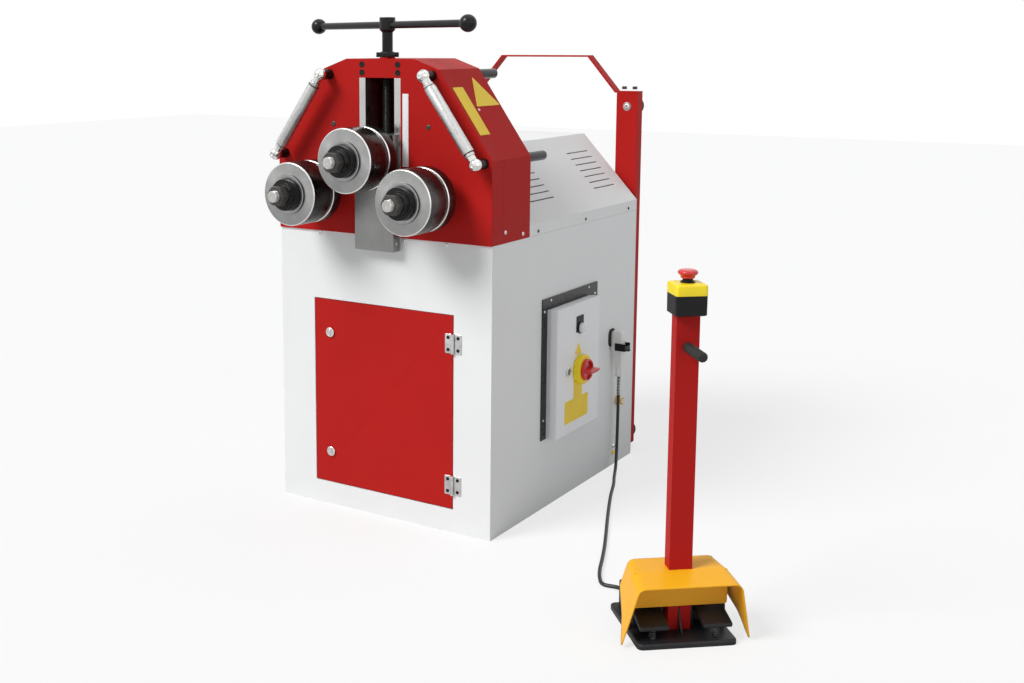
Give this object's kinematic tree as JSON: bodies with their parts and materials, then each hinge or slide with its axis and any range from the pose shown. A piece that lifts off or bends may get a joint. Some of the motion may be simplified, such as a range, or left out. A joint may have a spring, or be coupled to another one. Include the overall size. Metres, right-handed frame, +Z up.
{
  "type": "three-roll section bender",
  "caption": "Floor-standing three-roll section bender with cantilevered rolls, a hand-screwed upper slide, slanted side guides, a sheet cabinet and a corded foot-pedal column.",
  "frame": {"origin": "centre of the cabinet's footprint, on the floor", "axes": "+Z up, +X to the operator's right when facing the rolls, -Y towards the operator"},
  "size_m": [1.3679, 1.2917, 1.288],
  "materials": {
    "grey_paint": "light grey powder coat",
    "white_paint": "white powder coat",
    "red_paint": "satin red paint",
    "yellow_paint": "yellow powder coat",
    "bright_steel": "turned and ground steel",
    "chrome": "bright chrome plate",
    "dark_steel": "blackened steel",
    "black_steel": "black oxide",
    "slide_steel": "milled steel",
    "cast_grey": "grey painted casting",
    "black_cast": "black painted casting",
    "scale_aluminium": "pale printed strip",
    "rubber": "matt black rubber",
    "cord_rubber": "black cord jacket",
    "black_plastic": "matt black plastic",
    "white_plastic": "pale grey plastic",
    "grey_plastic": "grey plastic",
    "red_plastic": "glossy red plastic"
  },
  "bodies": {
    "base": {"cabinet": "grey_paint", "hood": "grey_paint", "panel_box": "white_paint", "front_plate": "red_paint", "head_cover": "red_paint", "left_post": "red_paint", "right_post": "red_paint", "rear_strap": "red_paint", "pedal_post": "red_paint", "left_rail": "bright_steel", "right_rail": "bright_steel", "upper_hinge": "bright_steel", "lower_hinge": "bright_steel", "kink_spring": "bright_steel", "bearing_plate": "dark_steel", "panel_surround": "black_steel", "gearmotor": "cast_grey", "scale_plate": "scale_aluminium", "left_upper_foot": "rubber", "right_upper_foot": "rubber", "left_lower_foot": "rubber", "right_lower_foot": "rubber", "pedal_cord": "cord_rubber", "pedal_socket": "white_plastic", "pedal_plug": "white_plastic", "stop_box": "grey_plastic", "grip_peg": "grey_plastic", "pedal_guard": "yellow_paint", "pedal_base": "black_cast"},
    "slider": {"slider": "slide_steel"},
    "spindle": {"spindle": "black_steel"},
    "lock_nut": {"lock_nut": "black_steel"},
    "upper_roll_set": {"upper_shaft": "bright_steel", "upper_roll": "bright_steel", "upper_rear_roll": "dark_steel", "upper_nut": "black_steel"},
    "left_roll_set": {"left_shaft": "bright_steel", "left_roll": "bright_steel", "left_rear_roll": "dark_steel", "left_nut": "black_steel"},
    "right_roll_set": {"right_shaft": "bright_steel", "right_roll": "bright_steel", "right_rear_roll": "dark_steel", "right_nut": "black_steel"},
    "pinion": {"drive_pinion": "dark_steel"},
    "left_guide": {"left_guide": "black_steel"},
    "left_guide_roller": {"left_guide_roller": "chrome"},
    "right_guide": {"right_guide": "black_steel"},
    "right_guide_roller": {"right_guide_roller": "chrome"},
    "door": {"door": "red_paint"},
    "upper_latch": {"upper_latch": "bright_steel"},
    "lower_latch": {"lower_latch": "bright_steel"},
    "panel_door": {"panel_door": "white_paint"},
    "switch_handle": {"switch_handle": "red_plastic"},
    "panel_lock": {"panel_lock": "black_plastic"},
    "socket_lever": {"socket_lever": "black_plastic"},
    "stop_stem": {"stop_stem": "red_plastic"},
    "stop_head": {"stop_head": "red_plastic"},
    "left_pedal": {"left_pedal": "black_cast"},
    "right_pedal": {"right_pedal": "black_cast"}
  },
  "joints": [
    {"name": "slider_slide", "type": "slide", "parent": "base", "child": "slider", "axis": [0, 0, 1], "range_m": [-0.0455, 0.1205]},
    {"name": "spindle_turn", "type": "hinge", "parent": "slider", "child": "spindle", "pos_m": [0, -0.393, 1], "axis": [0, 0, 1], "range_deg": [-2700, 7200]},
    {"name": "lock_nut_turn", "type": "hinge", "parent": "base", "child": "lock_nut", "pos_m": [0, -0.393, 1.19], "axis": [0, 0, 1], "range_deg": [0, 90]},
    {"name": "upper_roll_spin", "type": "hinge", "parent": "slider", "child": "upper_roll_set", "pos_m": [0, -0.582, 0.942], "axis": [0, 1, 0], "continuous": true},
    {"name": "left_roll_spin", "type": "hinge", "parent": "base", "child": "left_roll_set", "pos_m": [-0.17, -0.582, 0.851], "axis": [0, 1, 0], "continuous": true},
    {"name": "right_roll_spin", "type": "hinge", "parent": "base", "child": "right_roll_set", "pos_m": [0.17, -0.582, 0.851], "axis": [0, 1, 0], "continuous": true},
    {"name": "pinion_spin", "type": "hinge", "parent": "base", "child": "pinion", "pos_m": [0, -0.323, 0.851], "axis": [0, 1, 0], "continuous": true},
    {"name": "left_guide_slide", "type": "slide", "parent": "base", "child": "left_guide", "axis": [0, -1, 0], "range_m": [0, 0.1]},
    {"name": "left_guide_spin", "type": "hinge", "parent": "left_guide", "child": "left_guide_roller", "pos_m": [-0.2285, -0.469, 1.04175], "axis": [0.5799, 0, 0.8147], "continuous": true},
    {"name": "right_guide_slide", "type": "slide", "parent": "base", "child": "right_guide", "axis": [0, -1, 0], "range_m": [0, 0.1]},
    {"name": "right_guide_spin", "type": "hinge", "parent": "right_guide", "child": "right_guide_roller", "pos_m": [0.2285, -0.469, 1.04175], "axis": [-0.5799, 0, 0.8147], "continuous": true},
    {"name": "door_swing", "type": "hinge", "parent": "base", "child": "door", "pos_m": [0.21525, -0.4277, 0.31], "axis": [0, 0, 1], "range_deg": [0, 110]},
    {"name": "upper_latch_turn", "type": "hinge", "parent": "door", "child": "upper_latch", "pos_m": [-0.164, -0.423, 0.471], "axis": [0, -1, 0], "range_deg": [0, 90]},
    {"name": "lower_latch_turn", "type": "hinge", "parent": "door", "child": "lower_latch", "pos_m": [-0.164, -0.423, 0.1465], "axis": [0, -1, 0], "range_deg": [0, 90]},
    {"name": "panel_door_swing", "type": "hinge", "parent": "base", "child": "panel_door", "pos_m": [0.3365, 0.112, 0.364], "axis": [0, 0, 1], "range_deg": [0, 105]},
    {"name": "switch_turn", "type": "hinge", "parent": "panel_door", "child": "switch_handle", "pos_m": [0.359, -0.01, 0.358], "axis": [1, 0, 0], "range_deg": [0, 90]},
    {"name": "panel_lock_turn", "type": "hinge", "parent": "panel_door", "child": "panel_lock", "pos_m": [0.359, -0.08, 0.3634], "axis": [1, 0, 0], "range_deg": [0, 90]},
    {"name": "socket_lever_lift", "type": "hinge", "parent": "base", "child": "socket_lever", "pos_m": [0.348, 0.272, 0.366], "axis": [0, -1, 0], "range_deg": [0, 45]},
    {"name": "stop_press", "type": "slide", "parent": "base", "child": "stop_stem", "axis": [0, 0, -1], "range_m": [0, 0.0045], "stiffness_N_per_m": 400, "springref_m": -0.004},
    {"name": "stop_twist", "type": "hinge", "parent": "stop_stem", "child": "stop_head", "pos_m": [0.90188, -0.64372, 0.75], "axis": [0, 0, 1], "range_deg": [0, 30], "stiffness_Nm_per_rad": 0.05},
    {"name": "left_pedal_press", "type": "hinge", "parent": "base", "child": "left_pedal", "pos_m": [0.89402, -0.63465, 0.05], "axis": [0.7559, 0.6547, 0], "range_deg": [0, 10], "stiffness_Nm_per_rad": 2, "springref_deg": -17.19},
    {"name": "right_pedal_press", "type": "hinge", "parent": "base", "child": "right_pedal", "pos_m": [0.89402, -0.63465, 0.05], "axis": [0.7559, 0.6547, 0], "range_deg": [0, 10], "stiffness_Nm_per_rad": 2, "springref_deg": -17.19}
  ],
  "couplings": [
    {"joint": "slider_slide", "follows": "spindle_turn", "m_per_rad": 0.00095493},
    {"joint": "pinion_spin", "follows": "left_roll_spin", "ratio": -1.125},
    {"joint": "right_roll_spin", "follows": "left_roll_spin", "ratio": 1}
  ]
}
